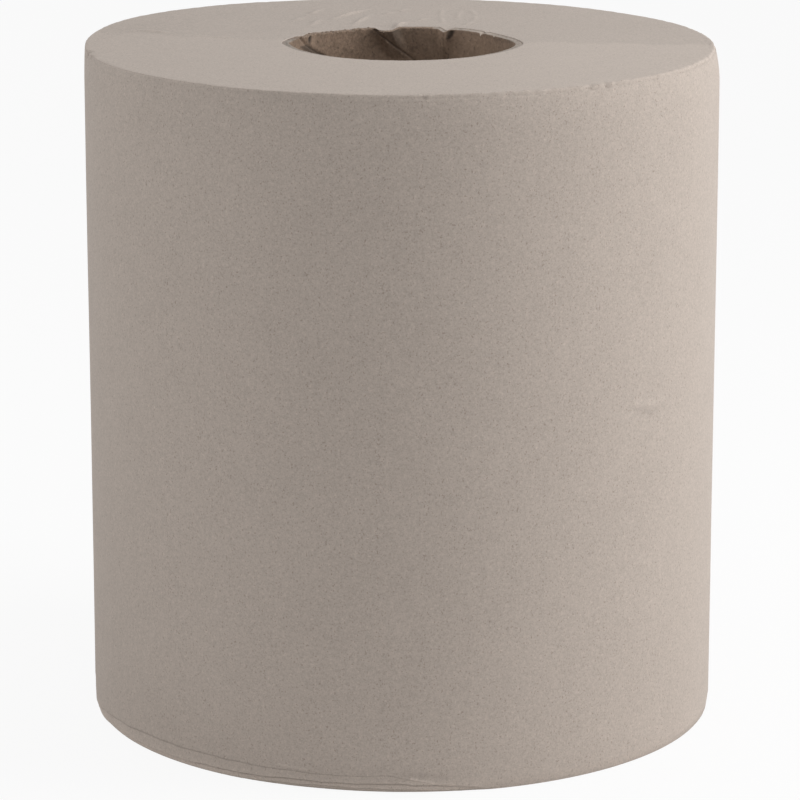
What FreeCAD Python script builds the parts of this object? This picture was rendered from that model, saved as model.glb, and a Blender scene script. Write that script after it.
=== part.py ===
# A centre-feed paper towel roll: one long web of creped paper wound round a board tube.
# Millimetres, +Z up. The origin is the centre of the lower end, and -Y is the side that is looked at.
import FreeCAD
import Part

import math
import os

import Sketcher
from FreeCAD import Vector

# Driving sizes: name, value, what it is. Angles are degrees from +X towards +Y.
SIZES = [
    ("roll_diameter", 187, "across the wound paper"),
    ("roll_height", 200, "width of the paper web"),
    ("sheet_step", 0.4, "step at the free end of the web, paper and air"),
    ("tail_angle", 118, "where the free end lies"),
    ("shoulder_inset", 1.8, "how far the top rim leans in on its worn side"),
    ("shoulder_height", 11, "height of the worn shoulder"),
    ("shoulder_angle", 315, "the worn side"),
    ("foot_inset", 0.7, "how far the rounded foot comes in"),
    ("foot_height", 2.2, "height of the rounded foot"),
    ("lip_depth", 0.5, "thickness of one turned-in sheet at the foot"),
    ("lip_tilt", 6, "slant of the turned-in edges"),
    ("lip_angle", 232, "where the turned-in edges stand highest"),
    ("outer_lip", 5.2, "height of the outermost sheet's edge there"),
    ("inner_lip", 2.4, "height of the next sheet's edge there"),
    ("core_bore", 65, "inside diameter of the board tube"),
    ("core_wall", 2, "thickness of the board tube"),
    ("core_fit", 0.05, "gap between the tube and the first turn"),
    ("core_recess", 0.5, "how far the tube stops short of each end of the roll"),
    ("mouth_reach", 16, "height of the squashed mouth at the top of the tube"),
    ("mouth_squash", 1.65, "how much wider and narrower the mouth is, on the radius"),
    ("seam_width", 0.9, "gap between the edges of the tube's inner ply, measured up the wall"),
    ("seam_depth", 0.4, "thickness of the tube's inner ply"),
    ("seam_pitch", 155, "rise of the seam in one turn round the tube"),
    ("seam_angle", 48.5, "where the seam starts at the foot"),
    ("dent_angle", 98, "crest of the broad dent in the mouth"),
    ("dent_left_angle", 8.2, "spread of the dent on the left of its crest"),
    ("dent_right_angle", 10.5, "spread of the dent on the right of its crest"),
    ("dent_depth", 5, "how far the dent's crest stands in"),
    ("dent_reach", 16, "how far down the wall the dent runs out"),
    ("kink_angle", 69.4, "crest of the sharp kink in the mouth"),
    ("kink_left_angle", 4.1, "spread of the kink on the left of its crest"),
    ("kink_right_angle", 3.9, "spread of the kink on the right of its crest"),
    ("kink_depth", 3.4, "how far the kink's crest stands in"),
    ("kink_reach", 13, "how far down the wall the kink runs out"),
]

FOLDS = ("dent", "kink")
EASE = 0.25  # share of a flare reached half way along it, which makes its profile a parabola
FOLD_BITE = 1  # how far a fold's solid goes past the wall that it starts from
CUT_ROOM = 5  # how far a cutting solid stands clear of the roll

MOUTH_START = "Sizes.roll_height - Sizes.mouth_reach"
BORE = "Sizes.core_bore / 2"
TUBE = "Sizes.core_bore / 2 + Sizes.core_wall"
NEST = "Sizes.core_bore / 2 + Sizes.core_wall + Sizes.core_fit"


def make_sheet(doc):
    sheet = doc.addObject("Spreadsheet::Sheet", "Sizes")
    for row, (name, value, note) in enumerate(SIZES, start=1):
        sheet.set(f"A{row}", name)
        sheet.set(f"B{row}", str(value))
        sheet.set(f"C{row}", note)
        sheet.setAlias(f"B{row}", name)
    doc.recompute()
    return sheet


def origin_of(body, role):
    """One of the body's own origin planes or axes."""
    return [feature for feature in body.Origin.OriginFeatures if feature.Role == role][0]


def sketch_on(body, name, role):
    sketch = body.newObject("Sketcher::SketchObject", name)
    sketch.AttachmentSupport = (origin_of(body, role), [""])
    sketch.MapMode = "FlatFace"
    return sketch


def sketch_at(body, name, height):
    """A level sketch, lifted to a height given as an expression."""
    sketch = sketch_on(body, name, "XY_Plane")
    sketch.setExpression("AttachmentOffset.Base.z", height)
    return sketch


def bind(sketch, name, expression, *constraint):
    """Adds a dimension to a sketch and ties it to an expression: its own number is only a start."""
    index = sketch.addConstraint(Sketcher.Constraint(*constraint))
    sketch.renameConstraint(index, name)
    sketch.setExpression(f"Constraints.{name}", expression)


def circle_sketch(body, name, radius, height):
    sketch = sketch_at(body, name, height)
    start = 30
    sketch.addGeometry(Part.Circle(Vector(), Vector(0, 0, 1), start), False)
    sketch.addConstraint(Sketcher.Constraint("Coincident", 0, 3, -1, 1))
    bind(sketch, "radius", radius, "Radius", 0, start)
    return sketch


def oval_sketch(body, name, radius, squash, height):
    """An ellipse that is wide along X and narrow along Y by the same squash."""
    sketch = sketch_at(body, name, height)
    start = 35
    sketch.addGeometry(Part.Ellipse(Vector(start + 1, 0, 0), Vector(0, start, 0), Vector()), False)
    sketch.exposeInternalGeometry(0)
    sketch.addConstraint(Sketcher.Constraint("Coincident", 0, 3, -1, 1))
    sketch.addConstraint(Sketcher.Constraint("Horizontal", 1))
    bind(sketch, "width", f"2 * ({radius} + {squash})", "Distance", 1, 2 * start)
    bind(sketch, "narrow", f"2 * ({radius} - {squash})", "Distance", 2, 2 * start)
    return sketch


def web_sketch(body, name, inset, height, shift="0"):
    """One turn of the wound web: four quarter arcs that lose a quarter of the sheet's step each.

    The free end is the short step between the last arc and the first. The outline turns with the
    tail's angle, and the shift moves it away from the roll's worn side.
    """
    sketch = sketch_at(body, name, height)
    sketch.setExpression("AttachmentOffset.Rotation.Angle", "Sizes.tail_angle")
    sketch.setExpression("AttachmentOffset.Base.x", f"-({shift}) * cos(Sizes.shoulder_angle)")
    sketch.setExpression("AttachmentOffset.Base.y", f"-({shift}) * sin(Sizes.shoulder_angle)")
    radius = 90
    loss = 0.1
    centres = [Vector(), Vector(0, loss, 0), Vector(-loss, loss, 0), Vector(-loss, 0, 0)]
    quarter = math.pi / 2
    for turn, centre in enumerate(centres):
        circle = Part.Circle(centre, Vector(0, 0, 1), radius - turn * loss)
        sketch.addGeometry(Part.ArcOfCircle(circle, turn * quarter, (turn + 1) * quarter), False)
    end = Vector(radius - 4 * loss, 0, 0)
    sketch.addGeometry(Part.LineSegment(end, Vector(radius, 0, 0)), False)
    for first, second in ((0, 1), (1, 2), (2, 3)):
        sketch.addConstraint(Sketcher.Constraint("Coincident", first, 2, second, 1))
    sketch.addConstraint(Sketcher.Constraint("Coincident", 3, 2, 4, 1))
    sketch.addConstraint(Sketcher.Constraint("Coincident", 4, 2, 0, 1))
    sketch.addConstraint(Sketcher.Constraint("Coincident", 0, 3, -1, 1))
    sketch.addConstraint(Sketcher.Constraint("PointOnObject", 1, 3, -2))
    sketch.addConstraint(Sketcher.Constraint("PointOnObject", 3, 3, -1))
    sketch.addConstraint(Sketcher.Constraint("Horizontal", 1, 3, 2, 3))
    sketch.addConstraint(Sketcher.Constraint("Vertical", 2, 3, 3, 3))
    sketch.addConstraint(Sketcher.Constraint("PointOnObject", 0, 1, -1))
    sketch.addConstraint(Sketcher.Constraint("PointOnObject", 0, 2, -2))
    sketch.addConstraint(Sketcher.Constraint("Horizontal", 1, 2, 1, 3))
    sketch.addConstraint(Sketcher.Constraint("Vertical", 2, 2, 2, 3))
    sketch.addConstraint(Sketcher.Constraint("PointOnObject", 3, 2, -1))
    bind(sketch, "rise", "Sizes.sheet_step / 4", "DistanceY", -1, 1, 1, 3, loss)
    bind(sketch, "run", "Sizes.sheet_step / 4", "DistanceX", 2, 3, -1, 1, loss)
    bind(sketch, "radius", f"Sizes.roll_diameter / 2 - ({inset})", "Radius", 0, radius)
    return sketch


def fold_sketch(body, name, fold, wall):
    """A fold's triangle at the top of the roll: its crest stands in from the wall by its depth.

    The two flanks meet the wall where the fold's spread ends, and go on past it by the bite.
    """
    sketch = sketch_at(body, name, "Sizes.roll_height")
    sketch.setExpression("AttachmentOffset.Rotation.Angle", f"Sizes.{fold}_angle")
    near, far, side = 28, 34, 5
    crest, left, right = Vector(near, 0, 0), Vector(far, side, 0), Vector(far, -side, 0)
    for start, end in ((crest, left), (left, right), (right, crest)):
        sketch.addGeometry(Part.LineSegment(start, end), False)
    for line in range(3):
        sketch.addConstraint(Sketcher.Constraint("Coincident", line, 2, (line + 1) % 3, 1))
    sketch.addConstraint(Sketcher.Constraint("PointOnObject", 0, 1, -1))
    narrow = f"({wall} - Sizes.mouth_squash)"
    depth = f"Sizes.{fold}_depth"
    past = f"(1 + {FOLD_BITE} / {depth})"
    bind(sketch, "crest", f"{narrow} - {depth}", "DistanceX", -1, 1, 0, 1, near)
    for flank, line, ends in (("left", 1, (-1, 1, 1, 1)), ("right", 2, (2, 1, -1, 1))):
        spread = f"Sizes.{fold}_{flank}_angle"
        along = f"{narrow} - {depth} + ({narrow} * cos({spread}) - {narrow} + {depth}) * {past}"
        bind(sketch, f"{flank}_along", along, "DistanceX", -1, 1, line, 1, far)
        bind(sketch, f"{flank}_across", f"{narrow} * sin({spread}) * {past}", "DistanceY", *ends, side)
    return sketch


def fold_end(body, name, fold, wall):
    """The point in the wall where a fold has run out."""
    sketch = sketch_at(body, name, f"Sizes.roll_height - Sizes.{fold}_reach")
    sketch.setExpression("AttachmentOffset.Rotation.Angle", f"Sizes.{fold}_angle")
    start = 35
    sketch.addGeometry(Part.Point(Vector(start, 0, 0)), False)
    sketch.addConstraint(Sketcher.Constraint("PointOnObject", 0, 1, -1))
    bind(sketch, "out", f"{wall} + {FOLD_BITE}", "DistanceX", -1, 1, 0, 1, start)
    return sketch


def seam_sketch(body, name):
    """The section of the seam, upright and turned to where the seam starts, below the tube's foot."""
    sketch = sketch_on(body, name, "XZ_Plane")
    sketch.AttachmentOffset = FreeCAD.Placement(Vector(), FreeCAD.Rotation(Vector(0, 1, 0), 1))
    sketch.setExpression("AttachmentOffset.Rotation.Angle", "Sizes.seam_angle")
    near, far, low, high = 30, 33, 1, 2
    corners = [Vector(near, low, 0), Vector(far, low, 0), Vector(far, high, 0), Vector(near, high, 0)]
    for side in range(4):
        sketch.addGeometry(Part.LineSegment(corners[side], corners[(side + 1) % 4]), False)
    for side, direction in enumerate(("Horizontal", "Vertical", "Horizontal", "Vertical")):
        sketch.addConstraint(Sketcher.Constraint("Coincident", side, 2, (side + 1) % 4, 1))
        sketch.addConstraint(Sketcher.Constraint(direction, side))
    bind(sketch, "inside", f"{BORE} - Sizes.seam_depth", "DistanceX", -1, 1, 0, 1, near)
    bind(sketch, "ply", f"{BORE} + Sizes.seam_depth", "DistanceX", -1, 1, 1, 1, far)
    bind(sketch, "gap", "Sizes.seam_width", "DistanceY", 0, 1, 3, 1, high - low)
    bind(sketch, "start", "Sizes.seam_width", "DistanceY", 3, 1, -1, 1, low)
    return sketch


def seam(body, name):
    """The helical gap where the edges of the tube's inner ply meet."""
    sketch = seam_sketch(body, f"{name}Section")
    body.Document.recompute()
    feature = body.newObject("PartDesign::SubtractiveHelix", name)
    feature.Profile = sketch
    feature.ReferenceAxis = (origin_of(body, "Z_Axis"), [""])
    feature.Mode = "pitch-height-angle"
    feature.setExpression("Pitch", "Sizes.seam_pitch")
    feature.setExpression("Height", "Sizes.roll_height + 2 * Sizes.seam_width")
    return feature


def pad(body, name, sketch, length):
    feature = body.newObject("PartDesign::Pad", name)
    feature.Profile = sketch
    feature.setExpression("Length", length)
    return feature


def pocket(body, name, sketch, length=None):
    """Cuts downwards from the sketch, right through where no length is given."""
    feature = body.newObject("PartDesign::Pocket", name)
    feature.Profile = sketch
    if length:
        feature.setExpression("Length", length)
    else:
        feature.Type = "ThroughAll"
    return feature


def loft(body, name, kind, sketches):
    feature = body.newObject(f"PartDesign::{kind}Loft", name)
    feature.Profile = (sketches[0], [""])
    feature.Sections = [(sketch, [""]) for sketch in sketches[1:]]
    return feature


def mouth_sketches(body, name, wall):
    """The round tube, and its squashed mouth half way up and at the top."""
    half = f"{MOUTH_START} + Sizes.mouth_reach / 2"
    return [
        circle_sketch(body, f"{name}Round", wall, MOUTH_START),
        oval_sketch(body, f"{name}Half", wall, f"{EASE} * Sizes.mouth_squash", half),
        oval_sketch(body, f"{name}Oval", wall, "Sizes.mouth_squash", "Sizes.roll_height"),
    ]


def folds(body, name, kind, wall):
    for fold in FOLDS:
        top = fold_sketch(body, f"{name}{fold.title()}Top", fold, wall)
        end = fold_end(body, f"{name}{fold.title()}End", fold, wall)
        loft(body, f"{name}{fold.title()}", kind, [top, end])


def make_core(doc):
    """The wound board tube, squashed at the top, with a dent and a kink knocked into its mouth."""
    body = doc.addObject("PartDesign::Body", "core_tube")
    pad(body, "Tube", circle_sketch(body, "TubeRound", TUBE, "Sizes.core_recess"),
        f"{MOUTH_START} - Sizes.core_recess")
    loft(body, "Mouth", "Additive", mouth_sketches(body, "Mouth", TUBE))
    pocket(body, "Bore", circle_sketch(body, "BoreRound", BORE, MOUTH_START))
    loft(body, "MouthBore", "Subtractive", mouth_sketches(body, "MouthBore", BORE))
    folds(body, "Inner", "Additive", BORE)
    folds(body, "Outer", "Subtractive", TUBE)
    seam(body, "Seam")
    trim = circle_sketch(body, "TrimRound", "Sizes.roll_diameter / 2", "Sizes.roll_height")
    pocket(body, "Trim", trim, "Sizes.core_recess")
    return body


def make_web(doc):
    """The wound paper: its free end, rounded foot, worn shoulder, and the bore round the tube."""
    body = doc.addObject("PartDesign::Body", "web")
    straight = web_sketch(body, "WebRound", "0", "Sizes.foot_height")
    pad(body, "Web", straight, "Sizes.roll_height - Sizes.foot_height - Sizes.shoulder_height")
    loft(body, "Foot", "Additive", [
        web_sketch(body, "FootStart", "0", "Sizes.foot_height"),
        web_sketch(body, "FootHalf", f"{EASE} * Sizes.foot_inset", "Sizes.foot_height / 2"),
        web_sketch(body, "FootEnd", "Sizes.foot_inset", "0"),
    ])
    shoulder = "Sizes.roll_height - Sizes.shoulder_height"
    half = f"{shoulder} + Sizes.shoulder_height / 2"
    lean = "Sizes.shoulder_inset / 2"
    loft(body, "Shoulder", "Additive", [
        web_sketch(body, "ShoulderStart", "0", shoulder),
        web_sketch(body, "ShoulderHalf", f"{EASE} * {lean}", half, f"{EASE} * {lean}"),
        web_sketch(body, "ShoulderTop", lean, "Sizes.roll_height", lean),
    ])
    pocket(body, "Nest", circle_sketch(body, "NestRound", NEST, MOUTH_START))
    loft(body, "MouthNest", "Subtractive", mouth_sketches(body, "MouthNest", NEST))
    folds(body, "Nest", "Additive", NEST)
    return body


def cylinder(doc, name, radius, height, base):
    item = doc.addObject("Part::Cylinder", name)
    item.setExpression("Radius", radius)
    item.setExpression("Height", height)
    item.setExpression("Placement.Base.z", base)
    return item


def cut(doc, name, base, tool):
    item = doc.addObject("Part::Cut", name)
    item.Base = base
    item.Tool = tool
    return item


def missing_edge(doc, name, lip, sheets):
    """What lies below the slanted edge of a turned-in sheet: a ring under a tilted plane."""
    depth = f"{sheets} * Sizes.lip_depth"
    radius = "Sizes.roll_diameter / 2"
    height = f"{lip} + 2 * {CUT_ROOM}"
    outer = cylinder(doc, f"{name}Outer", f"{radius} + {CUT_ROOM}", height, f"-{CUT_ROOM}")
    inner = cylinder(doc, f"{name}Inner", f"{radius} - {depth}", height, f"-{CUT_ROOM}")
    ring = cut(doc, f"{name}Ring", outer, inner)
    above = doc.addObject("Part::Cylinder", f"{name}Above")
    above.setExpression("Radius", "Sizes.roll_diameter")
    above.setExpression("Height", "Sizes.roll_height")
    centre = f"vector(0; 0; {lip} - {radius} * tan(Sizes.lip_tilt))"
    above.setExpression("Placement", f"placement({centre}; rotation(Sizes.lip_angle; -Sizes.lip_tilt; 0))")
    return cut(doc, f"{name}Missing", ring, above)


def make_roll(doc):
    """The web with its outermost sheets' edges turned in at the foot, one above the other."""
    web = make_web(doc)
    outer = missing_edge(doc, "OuterLip", "Sizes.outer_lip", 1)
    inner = missing_edge(doc, "InnerLip", "Sizes.inner_lip", 2)
    return cut(doc, "paper_roll", cut(doc, "WebWithLip", web, outer), inner)


def export(doc, parts):
    doc.recompute()
    for item in doc.Objects:
        if "Invalid" in item.State or "Error" in item.State:
            raise RuntimeError(f"{item.Name} did not build: {item.State}")
    for item in parts:
        if item.Shape.isNull() or not item.Shape.isValid():
            raise RuntimeError(f"{item.Label} has no valid shape")
    os.makedirs("parts", exist_ok=True)
    for item in parts:
        item.Shape.exportStep(f"parts/{item.Label}.step")
        box = item.Shape.optimalBoundingBox()
        print(item.Label, "solids", len(item.Shape.Solids), "volume", round(item.Shape.Volume))
        print("  size", round(box.XLength, 2), round(box.YLength, 2), round(box.ZLength, 2))


def main():
    doc = FreeCAD.newDocument("paper_towel_roll")
    make_sheet(doc)
    export(doc, [make_core(doc), make_roll(doc)])


main()
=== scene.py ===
# Paper towel roll: the looks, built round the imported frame. Metres, -Y is the side of the photograph.
import math

import bmesh
import bpy
import numpy as np
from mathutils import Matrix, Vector


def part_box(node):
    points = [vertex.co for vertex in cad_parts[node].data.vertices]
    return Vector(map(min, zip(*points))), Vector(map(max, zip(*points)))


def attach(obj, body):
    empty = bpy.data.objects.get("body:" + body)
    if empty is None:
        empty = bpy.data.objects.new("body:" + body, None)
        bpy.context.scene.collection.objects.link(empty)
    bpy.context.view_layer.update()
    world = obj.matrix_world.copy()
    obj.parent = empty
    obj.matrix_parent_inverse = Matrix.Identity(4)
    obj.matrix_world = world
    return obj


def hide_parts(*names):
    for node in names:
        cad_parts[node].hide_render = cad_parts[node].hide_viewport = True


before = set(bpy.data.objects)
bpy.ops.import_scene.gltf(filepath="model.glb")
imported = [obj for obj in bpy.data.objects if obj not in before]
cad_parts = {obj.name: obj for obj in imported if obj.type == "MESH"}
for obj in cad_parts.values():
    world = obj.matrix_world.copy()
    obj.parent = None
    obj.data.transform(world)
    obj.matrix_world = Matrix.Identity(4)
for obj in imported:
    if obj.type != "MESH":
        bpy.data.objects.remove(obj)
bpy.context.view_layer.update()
mm = 0.001
print("frame loaded")


# Camera: looks down on the roll, as the photograph does.
cameraValues = {
    "place": (-0.0007, -1.175, 0.3806),
    "down": 13.80,  # degrees below level
    "lens": 181.2,
    "clipStart": 0.05,
}


def makeCamera(values):
    camera = bpy.data.cameras.new("photoCamera")
    camera.lens = values["lens"]
    camera.clip_start = values["clipStart"]
    cameraObject = bpy.data.objects.new("photoCamera", camera)
    cameraObject.location = values["place"]
    cameraObject.rotation_euler = (math.radians(90 - values["down"]), 0, 0)
    bpy.context.scene.collection.objects.link(cameraObject)
    bpy.context.scene.camera = cameraObject


makeCamera(cameraValues)
print("camera set")


# Sizes that both pieces share: they come from the frame, so that the pieces fill the solids.
paperLow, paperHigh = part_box("paper_roll")
tubeLow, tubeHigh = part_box("core_tube")
rollRadius = max(-paperLow.x, paperHigh.x)
rollHeight = paperHigh.z
tubeFoot = tubeLow.z
tubeTop = tubeHigh.z

# The squashed, dented mouth of the tube. Angles are degrees from +X, lengths in mm.
mouthValues = {
    "tubeOutside": 34.5,
    "wall": 2.0,
    "reach": 16.0,  # depth over which the mouth goes back to the round
    # outline of the squashed mouth: angle, and how far the wall stands out of the round
    "outline": [
        (0, 0.9), (5, 0.95), (14, 0.2), (24, -0.45), (32, -0.6), (43, -0.25), (50, 0.35), (58, 0.75),
        (66, 0.5), (75, -0.3), (90, -1.4), (102, -1.65), (114, -1.6), (124, -1.15), (135, -0.25),
        (144, 0.2), (154, 0.0), (164, 0.3), (172, 1.1), (176, 1.2), (186, -0.2), (197, -1.1),
        (205, -1.7), (218, -2.2), (231, -2.2), (244, -2.3), (262, -2.4), (284, -2.3), (303, -2.2),
        (314, -2.0), (324, -1.8), (334, -1.3), (345, -0.5), (355, 0.5), (360, 0.9),
    ],
    "averaged": (-4, -2, 0, 2, 4),  # the outline is smoothed over these turns
    # crest angle, left and right spread, how far in, how far the rim sags, reach down,
    # degrees that the crest drifts to the right for each mm down, flat share, how sharp the crest is
    "folds": [
        (100.0, 7.0, 8.8, 3.1, 0.6, 9.5, 0.75, 0.3, 0.1),  # the dent
        (66.0, 4.9, 2.5, 2.7, 0.6, 14.0, -0.15, 0.0, 0.9),  # the sharp kink
        (150.0, 8.0, 6.0, 0.6, 0.3, 7.0, 0.6, 0.0, 0.3),
        (128.0, 16.0, 14.0, 0.6, 0.2, 10.0, 0.0, 0.0, 0.0),
        (42.0, 3.0, 0.9, 0.35, 0.3, 5.0, 0.0, 0.0, 0.5),
    ],
}

# Seams of the tube's plies, which climb its inside. Angles in degrees, lengths in mm.
seamValues = {
    "pitch": 155.0,
    # angle at the top, half width, depth, how dark its painted shade is, and whether its end is torn
    "seams": [
        (152.6, 2.0, 0.55, 1.0, True),
        (106.0, 1.1, 0.40, 0.75, False),
        (290.0, 0.8, 0.35, 0.6, True),
    ],
    "deep": (12.0, 16.0),  # the depths between which the groove gives way to a drawn line of painted shade
    "inside": 33.4,  # only what lies within this radius is the tube's inside
    "curl": 4.8,  # degrees that the torn end curls to the left
    "curlPath": (6.3, 3.64, 1.2),  # depth where the curl begins, its length, and its most
    "plyStep": (0.18, 4.0),  # how far the ply's end stands back, and the angle over which that fades
    "grooveFade": 0.7,  # below 1, the painted shade fills more of the groove
    "tornDark": (2.1, 2.7),  # the torn seam's painted shade comes in between these depths
    "otherDark": (4.0, 7.0, 0.6),  # the others lose a share of their painted shade between these depths
    "lifted": (0.2, 0.9, 5.0, 9.0),  # the lifted ply's painted shade beside the seam: fades in, then out
    "liftedReach": (7.0, 10.0),
    "liftedDark": 0.7,
    "plyEdgeHighlight": (1.4, 0.6, 0.25),  # painted highlight on each ply's edge: angle off the seam, spread, how light
}


def wrapped(angle):
    return (angle + 180.0) % 360.0 - 180.0


def softStep(value, low, high):
    t = np.clip((value - low) / (high - low), 0, 1)
    return t * t * (3 - 2 * t)


# 1 at no distance, falling off as a bell does
def bell(away, spread):
    return np.exp(-(away / spread) ** 2)


# Outward shift of the tube's wall and sag of its rim, in mm, at an angle and a depth below the top
def mouthShift(angle, below):
    rise = np.clip(1 - below / mouthValues["reach"], 0, 1) ** 2
    places, shifts = zip(*mouthValues["outline"])
    nearby = mouthValues["averaged"]
    out = sum(np.interp((angle + turn) % 360.0, places, shifts) for turn in nearby) / len(nearby) * rise
    sag = np.zeros_like(out)
    for crest, left, right, inward, sagging, reach, drift, flat, sharp in mouthValues["folds"]:
        away = wrapped(angle - (crest - drift * below))
        spread = np.where(away > 0, left, right)
        near = np.clip((1 - np.abs(away) / spread) / (1 - flat), 0, 1)
        near = sharp * near + (1 - sharp) * softStep(near, 0, 1)
        fall = np.clip(1 - below / reach, 0, 1)
        out = out - inward * near * fall
        sag = sag + sagging * near * fall
    return out, sag


# A new node with its settings, and its inputs linked or set by name or number
def addNode(tree, kind, inputs, **settings):
    node = tree.nodes.new(kind)
    for name, value in settings.items():
        setattr(node, name, value)
    for label, value in inputs.items():
        if isinstance(value, bpy.types.NodeSocket):
            tree.links.new(value, node.inputs[label])
        else:
            node.inputs[label].default_value = value
    return node


def mathNode(tree, operation, first, second=0.0):
    return addNode(tree, "ShaderNodeMath", {0: first, 1: second}, operation=operation).outputs[0]


# Math nodes of one tree, written short
def calculator(tree):
    return lambda operation, *terms: mathNode(tree, operation, *terms)


# Geometry Nodes: one tree winds a profile round the axis and lets it lose a sheet's thickness a turn.
windingValues = {
    "sockets": [
        ("Geometry", "INPUT", "Geometry"), ("Segments", "INPUT", "Int"), ("Sheet Step", "INPUT", "Float"),
        ("Tail Angle", "INPUT", "Float"), ("Unevenness", "INPUT", "Float"), ("Seed", "INPUT", "Float"),
        ("Material", "INPUT", "Material"), ("Geometry", "OUTPUT", "Geometry"),
    ],
    "waveScale": 1.6,  # how close together the unevenness changes round the roll
    "waveClimb": 12,  # and up it
}


# Grid of segments by profile points: each point is placed at its profile's radius and height
def windingTree(values):
    tree = bpy.data.node_groups.new("windProfile", "GeometryNodeTree")
    for label, direction, kind in values["sockets"]:
        tree.interface.new_socket(label, in_out=direction, socket_type="NodeSocket" + kind)
    nodes, calc = tree.nodes, calculator(tree)
    given = nodes.new("NodeGroupInput").outputs
    count = addNode(tree, "GeometryNodeAttributeDomainSize", {0: given["Geometry"]})
    segments, rows = given["Segments"], count.outputs["Point Count"]
    grid = addNode(tree, "GeometryNodeMeshGrid", {"Vertices X": calc("ADD", segments, 1), "Vertices Y": rows})
    index = nodes.new("GeometryNodeInputIndex").outputs[0]
    column = calc("FLOOR", calc("DIVIDE", calc("ADD", index, 0.5), rows))
    row = calc("SUBTRACT", index, calc("MULTIPLY", column, rows))
    position = nodes.new("GeometryNodeInputPosition").outputs[0]
    inputs = {"Geometry": given["Geometry"], "Value": position, "Index": row}
    sample = addNode(tree, "GeometryNodeSampleIndex", inputs, data_type="FLOAT_VECTOR")
    profile = addNode(tree, "ShaderNodeSeparateXYZ", {0: sample.outputs["Value"]})
    radius, wound, height = profile.outputs  # the profile's Y holds its share of the winding
    share = calc("DIVIDE", column, calc("SUBTRACT", segments, 1))
    share = calc("MULTIPLY", share, calc("LESS_THAN", share, 1.0001))  # the last column is the first again
    loss = calc("MULTIPLY", calc("MULTIPLY", share, wound), given["Sheet Step"])
    turn = calc("MULTIPLY", calc("DIVIDE", column, segments), 2 * math.pi)
    angle = calc("ADD", turn, given["Tail Angle"])
    climb = calc("ADD", calc("MULTIPLY", height, values["waveClimb"]), given["Seed"])
    around = addNode(tree, "ShaderNodeCombineXYZ", {0: calc("COSINE", turn), 1: calc("SINE", turn), 2: climb})
    noise = addNode(tree, "ShaderNodeTexNoise", {"Scale": values["waveScale"], "Vector": around.outputs[0]})
    uneven = calc("MULTIPLY", calc("SUBTRACT", noise.outputs[0], 0.5), given["Unevenness"])
    radius = calc("ADD", calc("SUBTRACT", radius, loss), calc("MULTIPLY", uneven, wound))
    x, y = calc("MULTIPLY", radius, calc("COSINE", angle)), calc("MULTIPLY", radius, calc("SINE", angle))
    place = addNode(tree, "ShaderNodeCombineXYZ", {0: x, 1: y, 2: height})
    steps = [("GeometryNodeSetPosition", {"Position": place.outputs[0]}), ("GeometryNodeRealizeInstances", {}),
             ("GeometryNodeSetMaterial", {"Material": given["Material"]}), ("NodeGroupOutput", {})]
    shape = grid.outputs["Mesh"]
    for kind, inputs in steps:
        node = addNode(tree, kind, inputs)
        tree.links.new(shape, node.inputs[0])
        shape = node.outputs[0] if node.outputs else None
    return tree


# Runs the tree on a profile's points, given in mm, and returns the wound mesh, column by column
def windProfile(name, tree, profile, values, material):
    points = bpy.data.meshes.new(name + "Profile")
    points.from_pydata([(r * mm, share, z * mm) for r, z, share in profile], [], [])
    carrier = bpy.data.objects.new(name + "Carrier", points)
    bpy.context.scene.collection.objects.link(carrier)
    modifier = carrier.modifiers.new("wind", "NODES")
    modifier.node_group = tree
    settings = {
        "Segments": values["segments"],
        "Sheet Step": values["sheetStep"] * mm,
        "Tail Angle": math.radians(values["tailAngle"]),
        "Unevenness": values["unevenness"] * mm,
        "Seed": values["seed"],
        "Material": material,
    }
    for item in tree.interface.items_tree:
        if item.item_type == "SOCKET" and item.in_out == "INPUT" and item.name in settings:
            modifier[item.identifier] = settings[item.name]
    graph = bpy.context.evaluated_depsgraph_get()
    mesh = bpy.data.meshes.new_from_object(carrier.evaluated_get(graph))
    mesh.name = name
    bpy.data.objects.remove(carrier)
    return mesh


# Joins the grid's ends to its starts, turns its faces outwards and links the piece
def closedPiece(name, mesh, join=1e-7, sliver=1e-8):
    work = bmesh.new()
    work.from_mesh(mesh)
    bmesh.ops.remove_doubles(work, verts=work.verts, dist=join)
    bmesh.ops.dissolve_degenerate(work, edges=work.edges, dist=sliver)
    bmesh.ops.recalc_face_normals(work, faces=work.faces)
    work.to_mesh(mesh)
    work.free()
    mesh.polygons.foreach_set("use_smooth", [True] * len(mesh.polygons))
    piece = bpy.data.objects.new(name, mesh)
    bpy.context.scene.collection.objects.link(piece)
    return piece


# Angle in degrees, radius and height in mm of the wound mesh: a column for each segment
def gridOf(mesh, rows):
    places = np.zeros(len(mesh.vertices) * 3)
    mesh.vertices.foreach_get("co", places)
    x, y, height = np.moveaxis(places.reshape(-1, rows, 3) / mm, 2, 0)
    angle = np.degrees(np.arctan2(y, x))
    angle[-1] = angle[0]
    return angle, np.hypot(x, y), height.copy()


# Makes a grid's last column and row the same as its first
def closeGrid(grid):
    grid[-1] = grid[0]
    grid[:, -1] = grid[:, 0]


def setGrid(mesh, radius, angle, height):
    turn = np.radians(angle)
    places = np.stack([radius * np.cos(turn), radius * np.sin(turn), height], 2)
    closeGrid(places)
    mesh.vertices.foreach_set("co", (places * mm).ravel())


def paint(mesh, **layers):
    for name, values in layers.items():
        closeGrid(values)
        mesh.attributes.new(name, "FLOAT", "POINT").data.foreach_set("value", values.ravel())


# A profile's points, and the rows that each of its named zones takes up
def joinZones(*parts):
    zones, points = {}, []
    for name, items in parts:
        zones[name] = slice(len(points), len(points) + len(items))
        points.extend(items)
    return points, zones


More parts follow.
